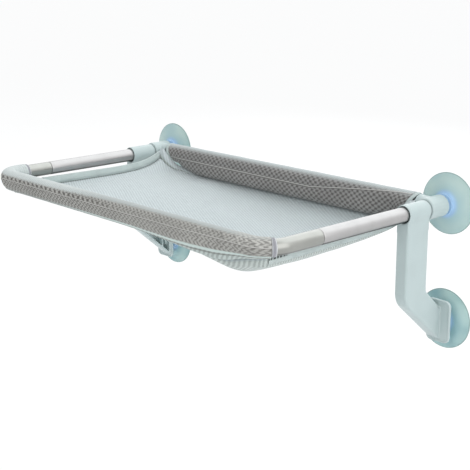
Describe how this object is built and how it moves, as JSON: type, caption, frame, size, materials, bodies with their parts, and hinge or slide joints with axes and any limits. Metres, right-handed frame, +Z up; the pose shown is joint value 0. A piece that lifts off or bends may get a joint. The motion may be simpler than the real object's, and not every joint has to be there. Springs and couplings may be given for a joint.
{
  "type": "window hammock",
  "caption": "Window hammock for a small pet: tube frame on suction cups, swivelling brackets below and a sagging mesh bed sewn round the rails.",
  "frame": {"origin": "on the glass, midway between the upper suction cups, at the height of the rails", "axes": "+X along the window to the right, +Y into the glass, +Z up"},
  "size_m": [0.626, 0.3328, 0.233],
  "materials": {
    "steel_tube": "polished",
    "white_plastic": "satin",
    "inner_plastic": "matt",
    "clear_rubber": "glossy, translucent",
    "zinc_steel": "zinc plated",
    "grey_mesh": "coarse mesh",
    "pale_mesh": "fine mesh",
    "pale_tape": "woven tape",
    "grey_tape": "woven tape"
  },
  "bodies": {
    "frame": {"front_rail": "steel_tube", "rear_rail": "steel_tube", "front_border": "grey_mesh", "rear_border": "grey_mesh", "bed_panel": "pale_mesh", "side_rail_right": "steel_tube", "rail_spigot_right": "inner_plastic", "tee_right": "white_plastic", "upper_cup_right": "clear_rubber", "upper_stud_right": "zinc_steel", "side_rail_screw_right": "zinc_steel", "rear_rail_screw_right": "zinc_steel", "side_binding_right": "pale_tape", "rear_hem_right": "pale_tape", "front_hem_right": "grey_tape", "side_rail_left": "steel_tube", "rail_spigot_left": "inner_plastic", "tee_left": "white_plastic", "upper_cup_left": "clear_rubber", "upper_stud_left": "zinc_steel", "side_rail_screw_left": "zinc_steel", "rear_rail_screw_left": "zinc_steel", "side_binding_left": "pale_tape", "rear_hem_left": "pale_tape", "front_hem_left": "grey_tape"},
    "bracket_right": {"bracket_right": "white_plastic", "lower_cup_right": "clear_rubber", "lower_stud_right": "zinc_steel"},
    "bracket_left": {"bracket_left": "white_plastic", "lower_cup_left": "clear_rubber", "lower_stud_left": "zinc_steel"}
  },
  "joints": [
    {"name": "bracket_swivel_right", "type": "hinge", "parent": "frame", "child": "bracket_right", "pos_m": [0.27, -0.071, 0], "axis": [0, -1, 0], "range_deg": [0, 90]},
    {"name": "bracket_swivel_left", "type": "hinge", "parent": "frame", "child": "bracket_left", "pos_m": [-0.27, -0.071, 0], "axis": [0, 1, 0], "range_deg": [0, 90]}
  ]
}
